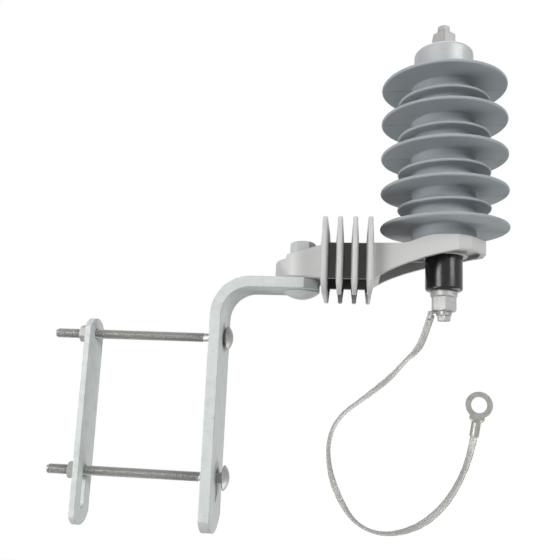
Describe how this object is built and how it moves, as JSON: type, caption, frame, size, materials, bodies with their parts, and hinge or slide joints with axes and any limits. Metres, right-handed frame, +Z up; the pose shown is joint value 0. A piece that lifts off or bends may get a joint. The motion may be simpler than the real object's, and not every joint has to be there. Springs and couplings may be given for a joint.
{
  "type": "distribution surge arrester",
  "caption": "Shedded polymer surge arrester on a finned insulating arm, with cross-arm clamp, ground lead disconnector and braided ground lead.",
  "frame": {"origin": "centre of the strap face that bears on the cross-arm, midway between the two rods", "axes": "+Z up along the arrester's axis, +X from the cross-arm out to the arrester, -X into the cross-arm"},
  "size_m": [0.3895, 0.108, 0.4462],
  "materials": {
    "silicone": "matt grey silicone rubber",
    "arm_moulding": "light grey glass-filled moulding, satin",
    "galvanised": "hot-dip galvanised, satin with faint spangle",
    "plated": "zinc-plated steel, satin",
    "cap_alloy": "cast and turned aluminium, satin",
    "stainless": "bright turned steel",
    "disconnector_black": "glossy black moulding",
    "braid_tinned": "tinned copper braid",
    "tinned_lug": "tinned copper terminal, satin",
    "fibreglass": "resin-bonded glass fibre",
    "varistor_ceramic": "metal-oxide ceramic with glazed collar",
    "electrode_alloy": "turned aluminium",
    "spring_steel": "spring steel",
    "resistor_body": "brown fired ceramic",
    "cartridge_brass": "brass case"
  },
  "bodies": {
    "root": {"cross_arm_strap": "galvanised", "clamp_strap": "galvanised", "upper_carriage_bolt": "plated", "lower_carriage_bolt": "plated", "upper_lock_washer": "plated", "lower_lock_washer": "plated", "upper_hex_nut": "plated", "lower_hex_nut": "plated", "arm_carriage_bolt": "galvanised", "arm_flat_washer": "galvanised", "arm_lock_washer": "galvanised", "arm_hex_nut": "galvanised", "insulating_arm": "arm_moulding", "polymer_housing": "silicone", "fibreglass_tube": "fibreglass", "base_electrode": "electrode_alloy", "contact_plate": "electrode_alloy", "contact_springs": "spring_steel", "top_cap": "cap_alloy", "line_terminal_post": "stainless", "line_flat_washer": "stainless", "line_lock_washer": "stainless", "line_clamp_screw": "stainless", "mounting_stud": "stainless", "disconnector_housing": "disconnector_black", "disconnector_insert": "electrode_alloy", "grading_resistor": "resistor_body", "release_cartridge": "cartridge_brass", "ground_stud": "stainless", "ground_collar": "stainless", "ground_terminal_nut": "stainless", "ground_clamp_washer": "stainless", "ground_clamp_screw": "stainless", "braid_lug": "tinned_lug", "ground_braid": "braid_tinned", "ring_terminal": "tinned_lug", "varistor_disc_1": "varistor_ceramic", "varistor_disc_2": "varistor_ceramic", "varistor_disc_3": "varistor_ceramic", "varistor_disc_4": "varistor_ceramic", "varistor_disc_5": "varistor_ceramic"}
  },
  "joints": []
}
